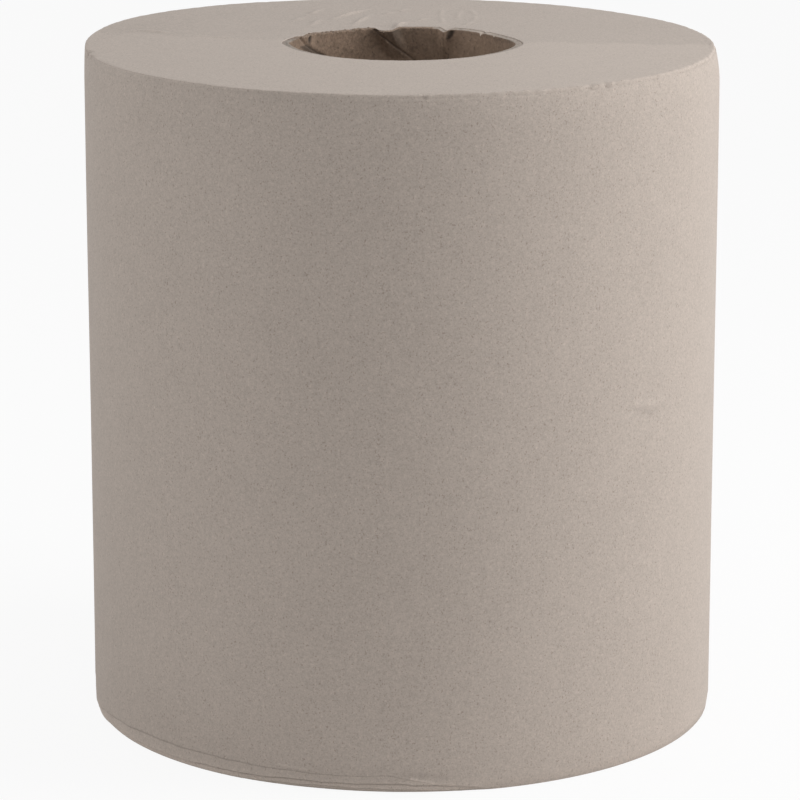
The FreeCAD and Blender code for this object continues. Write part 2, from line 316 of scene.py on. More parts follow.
# A sum of sines round the roll with seeded phases: the same each run
def waves(angle, seed, counts, amounts):
    random = np.random.default_rng(seed)
    total = np.zeros_like(angle)
    for count, amount in zip(counts, amounts):
        total = total + amount * np.sin(np.radians(count * angle) + random.uniform(0, 2 * math.pi))
    return total


# Shader groups. Scales are shares of the group's own.
patternValues = {
    "grainShare": 0.6,
    "crepeScale": 0.45,
    "crepeShare": 0.4,
    "fleckScale": 0.95,
    "fleckStretch": (1, 1, 0.8),
    "paleScale": 0.85,
    "paleStretch": (0.8, 0.8, 1),
    "paleTone": 0.16,
    "fleckLevels": (0.68, 0.80),  # noise levels between which a fleck fades in
    "turnScale": 0.9,  # how many of the turns share a tone
    "turnDetail": 3.0,
    "mottleDetail": 4.0,
}


def shaderGroup(name, inputs, outputs):
    group = bpy.data.node_groups.new(name, "ShaderNodeTree")
    for label, value in inputs:
        kind = "NodeSocketFloat" if isinstance(value, float) else "NodeSocketVector"
        socket = group.interface.new_socket(label, in_out="INPUT", socket_type=kind)
        socket.default_value = value
    for label in outputs:
        group.interface.new_socket(label, in_out="OUTPUT", socket_type="NodeSocketFloat")
    return group, group.nodes.new("NodeGroupInput"), group.nodes.new("NodeGroupOutput")


def scaledNoise(tree, vector, scale, detail=2.0, stretch=(1, 1, 1)):
    vector = addNode(tree, "ShaderNodeMapping", {"Scale": stretch, "Vector": vector}).outputs[0]
    return addNode(tree, "ShaderNodeTexNoise", {"Detail": detail, "Scale": scale, "Vector": vector}).outputs[0]


# 0 at the low value, 1 at the high one, level beyond them
def ramp(tree, value, low, high):
    limits = {"From Min": low, "From Max": high, "Value": value}
    return addNode(tree, "ShaderNodeMapRange", limits, clamp=True).outputs[0]


# Short fibres: a tone that varies round 0, a mask of dark flecks, and their height
def fibreGroup(values):
    group, given, result = shaderGroup(
        "fibres", [("Vector", (0, 0, 0)), ("Scale", 2200.0)], ["Tone", "Flecks", "Height"])
    calc = calculator(group)
    vector, scale = given.outputs["Vector"], given.outputs["Scale"]
    grain = scaledNoise(group, vector, scale)
    crepe = scaledNoise(group, vector, calc("MULTIPLY", scale, values["crepeScale"]))
    flat = calc("ADD", calc("MULTIPLY", grain, values["grainShare"]), calc("MULTIPLY", crepe, values["crepeShare"]))
    tone = calc("SUBTRACT", flat, 0.5)
    fleck = scaledNoise(group, vector, calc("MULTIPLY", scale, values["fleckScale"]), 0.0, values["fleckStretch"])
    pale = scaledNoise(group, vector, calc("MULTIPLY", scale, values["paleScale"]), 0.0, values["paleStretch"])
    pale = ramp(group, pale, *values["fleckLevels"])
    tone = calc("ADD", tone, calc("MULTIPLY", pale, values["paleTone"]))
    group.links.new(tone, result.inputs["Tone"])
    group.links.new(ramp(group, fleck, *values["fleckLevels"]), result.inputs["Flecks"])
    group.links.new(flat, result.inputs["Height"])
    return group


# Slow changes of tone over the surface, round 0
def mottleGroup(values):
    group, given, result = shaderGroup("mottle", [("Vector", (0, 0, 0)), ("Scale", 60.0)], ["Tone"])
    noise = scaledNoise(group, given.outputs["Vector"], given.outputs["Scale"], values["mottleDetail"])
    group.links.new(mathNode(group, "SUBTRACT", noise, 0.5), result.inputs["Tone"])
    return group


# A soft ridge along a line between two points: 1 on the line, 0 away from it
def wrinkleGroup():
    group, given, result = shaderGroup(
        "wrinkle", [("Vector", (0, 0, 0)), ("From", (0, 0, 0)), ("To", (0, 0, 1)), ("Half Width", 0.001)], ["Height"])
    calc = calculator(group)

    def vectorMath(operation, first, second, output=0):
        inputs = {0: first, "Scale" if operation == "SCALE" else 1: second}
        return addNode(group, "ShaderNodeVectorMath", inputs, operation=operation).outputs[output]

    def dot(first, second):
        return vectorMath("DOT_PRODUCT", first, second, 1)

    line = vectorMath("SUBTRACT", given.outputs["To"], given.outputs["From"])
    here = vectorMath("SUBTRACT", given.outputs["Vector"], given.outputs["From"])
    share = calc("DIVIDE", dot(here, line), dot(line, line))
    share = calc("MINIMUM", calc("MAXIMUM", share, 0.0), 1.0)
    away = vectorMath("SUBTRACT", here, vectorMath("SCALE", line, share))
    reach = calc("DIVIDE", calc("SQRT", dot(away, away)), given.outputs["Half Width"])
    ridge = calc("EXPONENT", calc("MULTIPLY", calc("MULTIPLY", reach, reach), -1))
    group.links.new(ridge, result.inputs["Height"])
    return group


# Distance from the roll's axis, share of a turn round it, and height
def polarParts(group, vector):
    calc = calculator(group)
    x, y, z = addNode(group, "ShaderNodeSeparateXYZ", {0: vector}).outputs
    radius = calc("SQRT", calc("ADD", calc("MULTIPLY", x, x), calc("MULTIPLY", y, y)))
    return radius, calc("DIVIDE", calc("ARCTAN2", y, x), 2 * math.pi), z


# The edges of the turns on an end face: fine tone rings that follow the winding's spiral
def turnsGroup(values):
    group, given, result = shaderGroup("turns", [("Vector", (0, 0, 0)), ("Sheet Step", 0.0004)], ["Tone"])
    calc = calculator(group)
    radius, turn, _ = polarParts(group, given.outputs["Vector"])
    phase = calc("SUBTRACT", calc("DIVIDE", radius, given.outputs["Sheet Step"]), turn)
    inputs = {"Scale": values["turnScale"], "Detail": values["turnDetail"], "W": phase}
    rings = addNode(group, "ShaderNodeTexNoise", inputs, noise_dimensions="1D")
    group.links.new(calc("SUBTRACT", rings.outputs[0], 0.5), result.inputs["Tone"])
    return group


# A ply's seam on the inside of the tube, as a mask for its painted shade line: 1 on the seam, 0 away from it and near
# the mouth
def seamGroup(values):
    group, given, result = shaderGroup(
        "seam", [("Vector", (0, 0, 0)), ("Start", 0.0), ("Pitch", 0.155), ("Half Width", 0.003),
                 ("Top", 0.2), ("Inside", 0.0334)], ["Mask"])
    calc = calculator(group)
    radius, turn, z = polarParts(group, given.outputs["Vector"])
    depth = calc("SUBTRACT", given.outputs["Top"], z)
    climbed = calc("DIVIDE", depth, given.outputs["Pitch"])
    phase = calc("ADD", calc("SUBTRACT", turn, given.outputs["Start"]), climbed)
    away = calc("ABSOLUTE", calc("SUBTRACT", calc("FRACT", calc("ADD", phase, 0.5)), 0.5))
    line = calc("SUBTRACT", 1.0, calc("DIVIDE", away, given.outputs["Half Width"]))
    line = calc("MULTIPLY", calc("MAXIMUM", line, 0.0), calc("LESS_THAN", radius, given.outputs["Inside"]))
    deep = ramp(group, depth, *(v * mm for v in values["deep"]))
    group.links.new(calc("MULTIPLY", line, deep), result.inputs["Mask"])
    return group


fibres, mottle, turns = fibreGroup(patternValues), mottleGroup(patternValues), turnsGroup(patternValues)
wrinkle, seam = wrinkleGroup(), seamGroup(seamValues)


# Places a group in a material's tree, with its own values
def placeGroup(tree, group, vector, **values):
    inputs = {label.replace("_", " "): value for label, value in values.items()}
    return addNode(tree, "ShaderNodeGroup", {"Vector": vector, **inputs}, node_tree=group)


def attribute(tree, name):
    return addNode(tree, "ShaderNodeAttribute", {}, attribute_name=name).outputs["Fac"]


def mixColour(tree, factor, *colours):
    first, second = ((*colour, 1) if isinstance(colour, tuple) else colour for colour in colours)
    return addNode(tree, "ShaderNodeMix", {0: factor, 6: first, 7: second}, data_type="RGBA").outputs[2]


# Multiplies a colour by a number
def scaleColour(tree, colour, factor):
    return addNode(tree, "ShaderNodeVectorMath", {0: colour, "Scale": factor}, operation="SCALE").outputs[0]


def newMaterial(name):
    material = bpy.data.materials.new(name)
    material.use_nodes = True
    tree = material.node_tree
    place = tree.nodes.new("ShaderNodeTexCoord").outputs["Object"]
    return material, tree, calculator(tree), tree.nodes["Principled BSDF"], place


# Base colour, plain finish numbers and bump of a material
def finishMaterial(tree, shader, colour, height, look):
    tree.links.new(colour, shader.inputs["Base Color"])
    for label, value in look["finish"].items():
        shader.inputs[label].default_value = value
    strength, distance = look["bump"]
    bump = addNode(tree, "ShaderNodeBump", {"Strength": strength, "Distance": distance, "Height": height})
    tree.links.new(bump.outputs[0], shader.inputs["Normal"])


paperLook = {
    "colour": (0.458, 0.394, 0.346),
    "dark": (0.20, 0.15, 0.12),
    "fibreScale": 2300.0,
    "fibreTone": 0.72,
    "fibreHeight": 0.18,
    "fleckTone": 0.42,
    "mottles": [(45.0, 0.07), (240.0, 0.091)],  # scale and tone
    "sheet": 0.0004,  # one turn's share of the radius, in metres
    "ringTone": 0.06,
    "finish": {"Roughness": 0.93, "Specular IOR Level": 0.25, "Sheen Weight": 0.08, "Sheen Roughness": 0.6},
    "bump": (1.0, 0.0002),
    "wrinkleHeight": 1.2,
    # faint wrinkles on the side: from and to in mm, half width in mm, how strong, and how much painted light lies
    # along it (painted shade below 0)
    "wrinkles": [
        ((66.2, -65.8, 107.0), (70.4, -61.3, 105.6), 1.0, 0.7, 0.06),
        ((70.4, -61.3, 105.6), (74.4, -56.3, 106.0), 1.0, 0.6, 0.04),
        ((65.8, -66.2, 104.6), (70.4, -61.3, 102.8), 1.0, -0.6, -0.05),
        ((70.4, -61.3, 102.8), (74.6, -56.1, 103.7), 1.0, -0.6, -0.05),
        ((74.0, -57.2, 142), (77.5, -52.3, 139), 0.9, 0.4, 0.02),
        ((66.0, -66.3, 61), (71.0, -60.9, 58), 0.9, 0.35, 0.02),
        ((2.4, -93.4, 4.4), (8.4, -93.1, 2.9), 0.45, 0.8, 0.28),
        ((8.4, -93.1, 2.9), (14.0, -92.4, 2.2), 0.4, 0.7, 0.22),
        ((0.5, -93.4, 5.7), (12.0, -92.7, 4.4), 0.8, -0.4, -0.07),
        ((-35, -86.7, 6.4), (-27, -89.5, 5.7), 0.5, 0.8, 0.12),
    ],
}


def makePaper(look):
    material, tree, calc, shader, place = newMaterial("towelPaper")
    fibre = placeGroup(tree, fibres, place, Scale=look["fibreScale"])
    tone = calc("MULTIPLY", fibre.outputs["Tone"], look["fibreTone"])
    for scale, amount in look["mottles"]:
        slow = placeGroup(tree, mottle, place, Scale=scale)
        tone = calc("ADD", tone, calc("MULTIPLY", slow.outputs[0], amount))
    ring = placeGroup(tree, turns, place, Sheet_Step=look["sheet"])
    ring = calc("MULTIPLY", ring.outputs[0], attribute(tree, "endFace"))
    tone = calc("ADD", tone, calc("MULTIPLY", ring, look["ringTone"]))
    # the roll's tone attribute: painted light and shade on the foot, the rim and the top
    tone = calc("ADD", tone, attribute(tree, "tone"))
    height = calc("MULTIPLY", fibre.outputs["Height"], look["fibreHeight"])
    for start, end, half, strong, light in look["wrinkles"]:
        start, end = [v * mm for v in start], [v * mm for v in end]
        line = placeGroup(tree, wrinkle, place, From=start, To=end, Half_Width=half * mm).outputs[0]
        height = calc("ADD", height, calc("MULTIPLY", line, strong * look["wrinkleHeight"]))
        # painted light along the wrinkle, painted shade where its amount is below 0
        tone = calc("ADD", tone, calc("MULTIPLY", line, light))
    flecks = calc("MULTIPLY", fibre.outputs["Flecks"], look["fleckTone"])
    colour = mixColour(tree, flecks, look["colour"], look["dark"])
    colour = scaleColour(tree, colour, calc("ADD", tone, 1.0))
    finishMaterial(tree, shader, colour, height, look)
    return material


boardLook = {
    "colour": (0.272, 0.195, 0.142),
    "end": (0.335, 0.288, 0.248),
    "dark": (0.045, 0.035, 0.028),
    "fibreScale": 1100.0,
    "fibreTone": 1.3,
    "fleckTone": 0.35,
    "mottleScale": 130.0,
    "mottleTone": 0.4,
    "finish": {"Roughness": 0.88, "Specular IOR Level": 0.3},
    "bump": (0.6, 0.0003),
}


def makeBoard(look):
    material, tree, calc, shader, place = newMaterial("coreBoard")
    fibre = placeGroup(tree, fibres, place, Scale=look["fibreScale"])
    slow = placeGroup(tree, mottle, place, Scale=look["mottleScale"])
    colour = mixColour(tree, attribute(tree, "endFace"), look["colour"], look["end"])
    # painted shade in the dent, on its flank, in the crack, the torn gap and the seams, mixed with dark specks and
    # the line between the plies
    colour = mixColour(tree, attribute(tree, "crevice"), colour, look["dark"])
    pitch, inside = seamValues["pitch"] * mm, seamValues["inside"] * mm
    # deep in the tube the seams are drawn as dark lines: painted shade of their grooves
    for start, half, _, dark, _ in seamValues["seams"]:
        start, half = start / 360, half / 360  # the group counts in turns
        line = placeGroup(tree, seam, place, Start=start, Pitch=pitch, Half_Width=half, Top=tubeTop, Inside=inside)
        colour = mixColour(tree, calc("MULTIPLY", line.outputs[0], dark), colour, look["dark"])
    colour = mixColour(tree, calc("MULTIPLY", fibre.outputs["Flecks"], look["fleckTone"]), colour, look["dark"])
    tone = calc("MULTIPLY", fibre.outputs["Tone"], look["fibreTone"])
    tone = calc("ADD", tone, calc("MULTIPLY", slow.outputs[0], look["mottleTone"]))
    # the tube's tone attribute: painted highlights at the ply edges and painted light and shade at the tips and under
    # the rim
    tone = calc("ADD", tone, attribute(tree, "tone"))
    colour = scaleColour(tree, colour, calc("ADD", tone, 1.0))
    finishMaterial(tree, shader, colour, fibre.outputs["Height"], look)
    return material


towelPaper, coreBoard = makePaper(paperLook), makeBoard(boardLook)
print("materials made")

wind = windingTree(windingValues)


# The wound web. Angles are degrees from +X, lengths in mm, waves are seed, counts and heights.
rollValues = {
    "segments": 640,
    "sheetStep": 0.4,
    "tailAngle": 118.0,
    "unevenness": 0.5,
    "seed": 3.0,
    "tubeGap": 0.05,
    # foot
    "footInset": 0.7,
    "footHeight": 2.2,
    "footTop": 9.0,  # the plain side begins here
    "litFootHeight": 4.5,  # painted light: the foot is painted paler up to this height
    "paleTone": 0.30,
    "sheets": (0.35, 0.55, 0.13),  # what each turned-in sheet adds to the radius at the foot, innermost first
    "sheetRise": 1.2,  # a sheet is at its full thickness where its edge is this high
    "sheetLight": (0.08, 0.6),  # painted light on the turned-in sheets, and the inset at which they get all of it
    "gapShades": (0.35, 0.7, 0.09),  # how dark the painted shade in the gap under each sheet's edge is
    "gapDepth": 0.3,  # how far the gap goes in, as a share of the step
    "gapLipShade": 0.4,  # how much of that painted shade reaches the edge above the gap
    "fullStep": 0.13,  # a smaller step has a fainter painted shade in its gap
    "edgeRound": 0.25,
    "edgeStart": 0.3,  # the next sheet's face begins this far above the edge
    # edges of the turned-in sheets: degrees from the front towards +X, and height above the floor
    "edges": [
        [(-30, 0), (-22, 0.8), (-12, 1.15), (-4, 0.8), (6, 0.35), (10, 0)],
        [(-76, 0), (-66, 1.4), (-50, 1.5), (-37, 1.75), (-27, 1.9), (-19, 2.5), (0, 2.7), (8, 1.8),
         (13, 0.7), (17, 0)],
        [(-96, 0), (-88, 0.5), (-82, 1.6), (-72, 3.6), (-63, 4.6), (-54, 5.4), (-40, 5.6), (-27, 5.1),
         (-19, 4.8), (-11, 4.9), (-2, 5.3), (4.6, 3.1), (11, 1.6), (16, 0)],
    ],
    "edgeWaves": [(seed, (9, 23, 41, 67), (0.10, 0.08, 0.06, 0.05)) for seed in (1, 2, 3)],
    # shoulder and rim
    "shoulderInset": 1.8,
    "shoulderHeight": 11.0,
    "shoulderAngle": 315.0,  # where it is most worn
    "rimRound": 0.5,
    "rimWear": (0.45, 0.9),  # share of that rounding at the left, and what the wear adds to it
    "raisedRim": 1.0,  # the turns at the back left stand this much higher
    "raisedAngle": 152.0,
    "raisedSpread": 38.0,
    "frayed": (312.0, 40.0, 0.25, 0.75),  # angle, spread, fraying everywhere, and what that place adds
    "rimWaves": (11, (5, 11), (0.05, 0.04)),
    "frayWaves": (12, (31, 73, 121), (0.05, 0.07, 0.08)),
    "frayOutWaves": (13, (17, 37, 91, 143), (0.05, 0.05, 0.08, 0.08)),
    # chips in the top rim: angle, half width in degrees, drop, how far in
    "chips": [
        (191.0, 1.6, 1.3, 0.5), (195.5, 0.8, 0.6, 0.3), (273.6, 0.5, 0.5, 0.25),
        (304.5, 0.6, 0.45, 0.35), (308.1, 0.6, 0.35, 0.3), (310.6, 0.5, 0.25, 0.2),
    ],
    # painted highlight along the rim's edge
    "rimHighlight": 0.05,
    # painted shade in the chips
    "chipShade": 0.35,
    # top
    "boreRound": 0.3,
    "topMargins": (0.9, 0.6),  # from the bore and from the rim to the top's first rings
    "foldReach": 2.2,  # how far the tube's folds spread into the paper round it
    "foldSag": 0.9,
    "topWaves": (21, (4, 9, 15), (1, 1, 1)),
    "topWaveHeight": 0.04,
    # crinkles on the top: from and to in mm from the centre, then height and half width
    "crinkles": [
        ((-80, 23), (-69, 18), 0.3, 1.2), ((-62, 14), (-46, 9), 0.16, 1.1),
        ((-29.1, 55.8), (-24.9, 68.5), 0.22, 0.8), ((-33.3, 43.3), (-30.4, 51.6), 0.18, 0.8),
        ((-27.8, 34.3), (-24.9, 48.4), 0.2, 0.8), ((-21.6, 48.4), (-10.9, 68.5), 0.34, 0.8),
        ((-15.3, 34.3), (-10.0, 57.1), 0.24, 0.8), ((-19.4, 32.4), (-15.6, 35.7), 0.16, 0.8),
        ((-5.3, 58.6), (-3.2, 62.8), 0.18, 0.8), ((-1.5, 64.5), (2.0, 70.3), 0.2, 0.8),
        ((-2.7, 33.1), (1.4, 42.6), 0.34, 0.8), ((5.2, 45.6), (7.4, 50.0), 0.2, 0.8),
        ((12.3, 70.6), (11.8, 52.7), 0.15, 0.8), ((11.8, 52.7), (12.4, 39.1), 0.15, 0.8),
        ((18.1, 67.4), (16.7, 47.1), 0.15, 0.8), ((21.0, 68.5), (22.6, 55.8), 0.15, 0.8),
        ((22.6, 55.8), (21.8, 44.2), 0.15, 0.8), ((21.8, 44.2), (18.4, 34.3), 0.14, 0.8),
    ],
    "crinkleLift": 1.8,
    "crinkleLightShade": (0.32, 0.25),  # painted highlight on the ridge, and painted shade on its left side
    "crinkleShade": (1.6, 0.9),  # where that painted shade lies and its spread, in half widths
    # painted sheen: the cut edges lean, so the top's front is painted lighter than its back; the border between them,
    # x and y
    "border": ([-90, -81, -34, 34, 90], [17, 16, 6.5, 3, -3]),
    "borderWaves": [(1.2, 0.31), (0.7, 0.83)],
    "borderSoft": 2.5,
    "topSheenTones": (0.03, 0.055, 0.04),  # painted sheen: how light the front is, how much darker the back is, and the painted light that the right front adds
    "rightFront": (15, 60),  # it comes in between these x
}

cornerSteps = (0.0, 0.12, 0.45, 1.0)  # a rounded corner in four points
thin = 0.02  # least distance between rings of points

# where the top's rings of points lie, from bore to rim: close together where it is crinkled
topShares = np.concatenate([[0, 0.012, 0.03], np.linspace(0.05, 0.80, 72), np.linspace(0.825, 1, 9)])


# Points from the foot of the bore outwards and round: radius, height, share of the winding
def rollProfile(values):
    bore, outer, top = mouthValues["tubeOutside"] + values["tubeGap"], rollRadius / mm, rollHeight / mm
    foot, shoulder = outer - values["footInset"], values["shoulderHeight"]
    lift = np.linspace(0.08, 1, 14) ** 0.75  # closer together towards the rim
    boreDepths = (1.0, 2.0, 3.5, 5.0, 7.0, 9.0, 12.0, 16.0, 60.0, 120.0, top)
    return joinZones(
        ("bottom", [(r, 0.0, 0.0) for r in np.linspace(bore, foot - 6, 6)] + [(foot - 1.5, 0.0, 0.6)]),
        ("foot", [(outer, 0.0, 1.0)] * 20),
        ("side", [(outer, z, 1.0) for z in np.linspace(values["footTop"], top - shoulder, 8)]),
        ("shoulder", [(outer, top - shoulder * (1 - t), 1.0) for t in lift[:-1]]),
        ("rim", [(outer, top, 1.0)] * len(cornerSteps)),
        ("top", [(bore + (outer - bore) * t, top, t) for t in topShares[::-1]]),
        ("boreRim", [(bore, top, 0.0)] * len(cornerSteps)),
        ("bore", [(bore, top - depth, 0.0) for depth in boreDepths]),
    )


# Three turned-in sheets, each ending at its own height, over a rounded foot
def shapeFoot(values, zone, angle, outer, radius, height, tone):
    edges, front = [], wrapped(angle - 270.0)
    for pairs, edgeWave in zip(values["edges"], values["edgeWaves"]):
        edge = np.interp(front, *zip(*pairs))
        edge = np.clip(edge + np.clip(edge, 0, 1) * waves(angle, *edgeWave), 0.0, None)
        edges.append(np.maximum(edge, edges[-1] + thin) if edges else edge)
    layers = [sheet * softStep(edge, 0, values["sheetRise"]) for sheet, edge in zip(values["sheets"], edges)]
    depths = [layers[0] + layers[1] + layers[2], layers[1] + layers[2], layers[2], 0 * outer]

    def rounded(z):  # how far the foot is drawn in at a height
        return values["footInset"] * np.clip(1 - z / values["footHeight"], 0, 1) ** 2

    row, low = zone.start, np.zeros_like(outer)
    sheetLight, fullInset = values["sheetLight"]
    for edge, under, over, shade in zip(edges, depths, depths[1:], values["gapShades"]):
        for share in (0.02, 0.45, 0.85):
            z = low + (edge - low) * share
            radius[:, row] = outer - under - rounded(z)
            height[:, row] = z
            # painted light on the turned-in sheet
            tone[:, row] += sheetLight * np.clip(under / fullInset, 0, 1)
            row += 1
        step = under - over
        gap, show = values["gapDepth"] * step, step / values["fullStep"]
        radius[:, row] = outer - under - gap - rounded(edge)  # the shadow gap under the sheet's edge
        height[:, row] = edge
        # painted shade in the gap under the sheet's edge, and a share of it on the edge above
        tone[:, row] = -shade * np.clip(show, 0, 1)
        radius[:, row + 1] = outer - over - gap - rounded(edge)
        height[:, row + 1] = edge + thin
        tone[:, row + 1] = -values["gapLipShade"] * shade * np.clip(show, 0, 1)
        radius[:, row + 2] = outer - over - rounded(edge + values["edgeRound"])
        height[:, row + 2] = edge + values["edgeRound"] * np.clip(show, 0.02, 1)
        row += 3
        low = edge + values["edgeStart"]
    for share in (0.4, 0.8):
        z = low + (values["footTop"] - low) * share
        radius[:, row] = outer - rounded(z)
        height[:, row] = z
        row += 1
    # painted light: the foot is painted paler towards the floor
    footLight = np.clip(1 - height[:, zone] / values["litFootHeight"], 0, 1)
    tone[:, zone] += values["paleTone"] * footLight ** 1.5


# Worn shoulder, raised turns and chipped rim; gives the rim's inner radius and how far the turns are raised
def shapeRim(values, zones, angle, outer, top, radius, height, tone):
    inset, tall = values["shoulderInset"], values["shoulderHeight"]
    worn = inset * (0.5 + 0.5 * np.cos(np.radians(angle - values["shoulderAngle"])))
    part = zones["shoulder"]
    rise = np.clip((height[:, part] - (top - tall)) / tall, 0, 1)
    radius[:, part] -= worn[:, None] * rise ** 2
    raised = values["raisedRim"] * bell(wrapped(angle - values["raisedAngle"]), values["raisedSpread"])
    place, spread, everywhere, added = values["frayed"]
    frayed = everywhere + added * bell(wrapped(angle - place), spread)
    rimHeight = raised + waves(angle, *values["rimWaves"]) + frayed * waves(angle, *values["frayWaves"])
    chipIn, chipped = np.zeros_like(angle), np.zeros_like(angle)
    for chip, half, drop, chipInset in values["chips"]:
        bite = np.clip(1 - np.abs(wrapped(angle - chip)) / half, 0, 1)
        rimHeight = rimHeight - drop * bite
        chipIn = chipIn + chipInset * bite
        chipped = np.maximum(chipped, bite)
    height[:, part] += rimHeight[:, None] * rise ** 3
    least, added = values["rimWear"]
    soft = values["rimRound"] * (least + added * worn / inset)
    edgeRadius = outer - worn - chipIn + frayed * waves(angle, *values["frayOutWaves"])
    for step, (inward, down) in enumerate(zip(cornerSteps, cornerSteps[::-1])):
        row = zones["rim"].start + step
        radius[:, row] = edgeRadius - soft * inward
        height[:, row] = top + rimHeight - soft * down
        # painted highlight along the rim, and painted shade in the chips
        tone[:, row] = values["rimHighlight"] - values["chipShade"] * chipped * (step < 2)
    height[:, part.stop - 1] = top + rimHeight - soft * 1.6  # the shoulder ends just below the rim
    radius[:, part.stop - 1] = edgeRadius + thin
    return edgeRadius - soft, raised


def flatPlaces(radius, angle):
    turn = np.radians(angle)[:, None]
    return radius * np.cos(turn), radius * np.sin(turn)


# Top face: raised towards the back left rim, crinkled behind the bore
def shapeTop(values, face, bore, angle, outer, top, rimInner, raised, radius, height, tone):
    first, last = values["topMargins"]
    span = (rimInner - last)[:, None]
    radius[:, face] = bore + first + (span - bore - first) * topShares[::-1][None, :]
    share = np.clip((radius[:, face] - bore) / (outer[:, None] - bore), 0, 1)
    height[:, face] = top + raised[:, None] * share ** 2
    x, y = flatPlaces(radius[:, face], angle)
    (light, dark), (beside, spread) = values["crinkleLightShade"], values["crinkleShade"]
    for (x0, y0), (x1, y1), tall, half in values["crinkles"]:
        length = math.hypot(x1 - x0, y1 - y0)
        along = np.clip(((x - x0) * (x1 - x0) + (y - y0) * (y1 - y0)) / length ** 2, 0, 1)
        off = np.hypot(x - x0 - along * (x1 - x0), y - y0 - along * (y1 - y0))
        fade = np.sin(math.pi * np.clip(along, 0.1, 0.9)) * tall
        left = np.sign((y - y0) * (x1 - x0) - (x - x0) * (y1 - y0)) * off
        height[:, face] += values["crinkleLift"] * fade * bell(off, half)
        # painted highlight on the ridge and painted shade on its left side
        tone[:, face] += light * fade * bell(off, half) - dark * fade * bell(left / half - beside, spread)
    height[:, face] += values["topWaveHeight"] * waves(angle, *values["topWaves"])[:, None] * share


# The bore and the paper round it follow the tube's dented mouth
def shapeBore(values, zones, bore, angle, top, radius, height):
    corner = np.array(cornerSteps) * values["boreRound"]
    for name in ("boreRim", "bore"):
        part = zones[name]
        below = np.maximum(top - height[:, part], 0)
        if name == "boreRim":
            below = np.broadcast_to(corner, below.shape).copy()
        out, sag = mouthShift(np.repeat(angle[:, None], part.stop - part.start, 1), below)
        radius[:, part] = bore + out
        if name == "boreRim":
            radius[:, part] += corner[::-1]
            height[:, part] = top - below - sag * values["foldSag"]
    face = zones["top"]
    flat = np.zeros((len(angle), face.stop - face.start))
    out, sag = mouthShift(flat + angle[:, None], flat)
    near = np.exp(-np.clip(radius[:, face] - bore - values["topMargins"][0], 0, None) / values["foldReach"])
    radius[:, face] += out * near
    height[:, face] -= values["foldSag"] * sag * near
    height[:, zones["bore"].stop - 1] = 0.0


# Painted sheen on the top: its front lighter than its back, and the right front lighter still
def paintTopSheen(values, face, angle, radius, tone):
    x, y = flatPlaces(radius[:, face], angle)
    border = np.interp(x, *values["border"])
    for amount, often in values["borderWaves"]:
        border = border + amount * np.sin(x * often)
    back = softStep(y - border, -values["borderSoft"], values["borderSoft"])
    front, darker, right = values["topSheenTones"]
    tone[:, face] += front - darker * back
    tone[:, face] += right * softStep(x, *values["rightFront"]) * (1 - back)


def makeRoll(values):
    profile, zones = rollProfile(values)
    mesh = windProfile("paperRoll", wind, profile, values, towelPaper)
    angle, radius, height = gridOf(mesh, len(profile))
    angle = angle[:, zones["foot"].start]
    tone, endFace = np.zeros_like(radius), np.zeros_like(radius)
    outer, top = radius[:, zones["side"].start + 3].copy(), rollHeight / mm
    bore = mouthValues["tubeOutside"] + values["tubeGap"]
    shapeFoot(values, zones["foot"], angle, outer, radius, height, tone)
    rimInner, raised = shapeRim(values, zones, angle, outer, top, radius, height, tone)
    shapeTop(values, zones["top"], bore, angle, outer, top, rimInner, raised, radius, height, tone)
    shapeBore(values, zones, bore, angle, top, radius, height)
    paintTopSheen(values, zones["top"], angle, radius, tone)
    endFace[:, zones["top"]] = 1
    endFace[:, zones["bottom"]] = 1
    setGrid(mesh, radius, angle[:, None], height)
    paint(mesh, tone=tone, endFace=endFace)
    piece = closedPiece("paperRoll", mesh)
    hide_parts("paper_roll")
    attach(piece, "root")
    return piece


makeRoll(rollValues)
print("paper wound")


